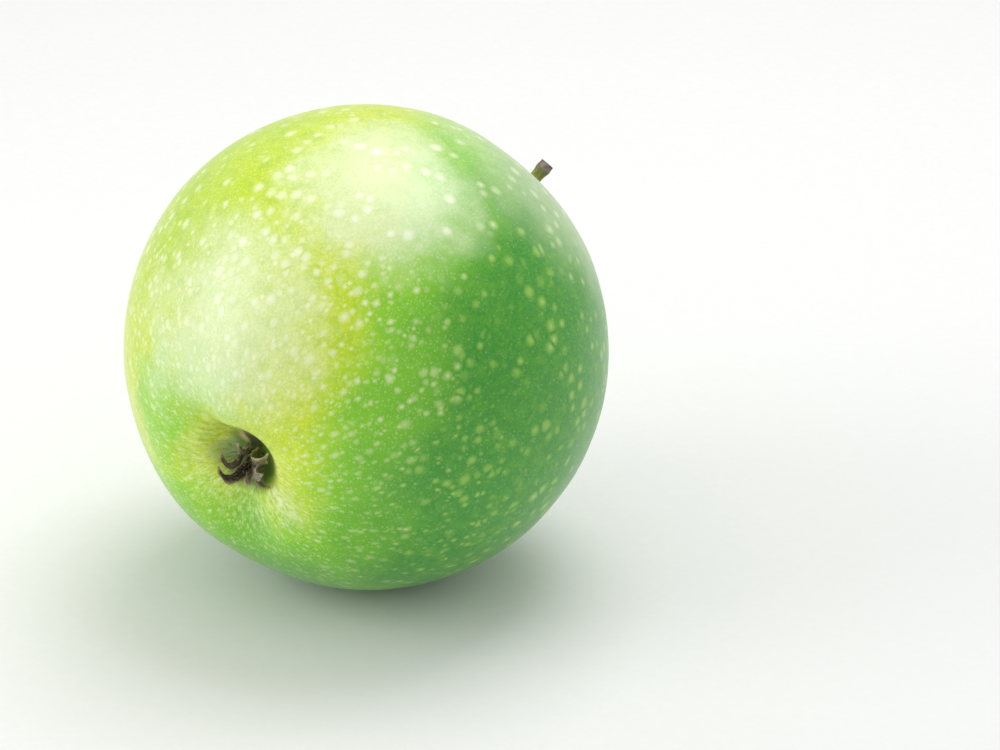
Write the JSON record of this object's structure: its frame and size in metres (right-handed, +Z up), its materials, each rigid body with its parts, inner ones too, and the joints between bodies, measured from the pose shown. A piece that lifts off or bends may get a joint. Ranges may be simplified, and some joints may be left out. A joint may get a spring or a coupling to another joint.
{
  "type": "apple",
  "caption": "Whole green apple lying on its side, with a woody stalk in its cavity and dried sepals, stamens and styles in its calyx basin.",
  "frame": {"origin": "centre of the small flat spot that the apple rests on, on its underside", "axes": "+Z up from the surface it lies on; the calyx end faces -Y and dips a little, the stalk end faces +Y; +X across the core"},
  "size_m": [0.0762, 0.0827, 0.0755],
  "materials": {
    "apple_skin": "smooth waxy skin, yellow-green to deep green, with pale lenticel spots",
    "stalk_bark": "thin ridged bark, olive-brown, matt, with a pale cut end",
    "dry_sepal": "dried leafy tissue, tan edges and dark brown faces, matt and slightly downy",
    "dry_stamen": "dried threads, dark brown, matt"
  },
  "bodies": {
    "root": {"fruit": "apple_skin", "stalk": "stalk_bark", "sepal_1": "dry_sepal", "sepal_1_strip": "dry_sepal", "sepal_2": "dry_sepal", "sepal_3": "dry_sepal", "sepal_4": "dry_sepal", "sepal_4_strip": "dry_sepal", "sepal_5": "dry_sepal", "stamen_1": "dry_stamen", "stamen_2": "dry_stamen", "stamen_3": "dry_stamen", "stamen_4": "dry_stamen", "stamen_5": "dry_stamen", "stamen_6": "dry_stamen", "stamen_7": "dry_stamen", "stamen_8": "dry_stamen", "stamen_9": "dry_stamen", "stamen_10": "dry_stamen", "stamen_11": "dry_stamen", "stamen_12": "dry_stamen", "style_1": "dry_stamen", "style_2": "dry_stamen", "style_3": "dry_stamen", "style_4": "dry_stamen", "style_5": "dry_stamen"}
  },
  "joints": []
}
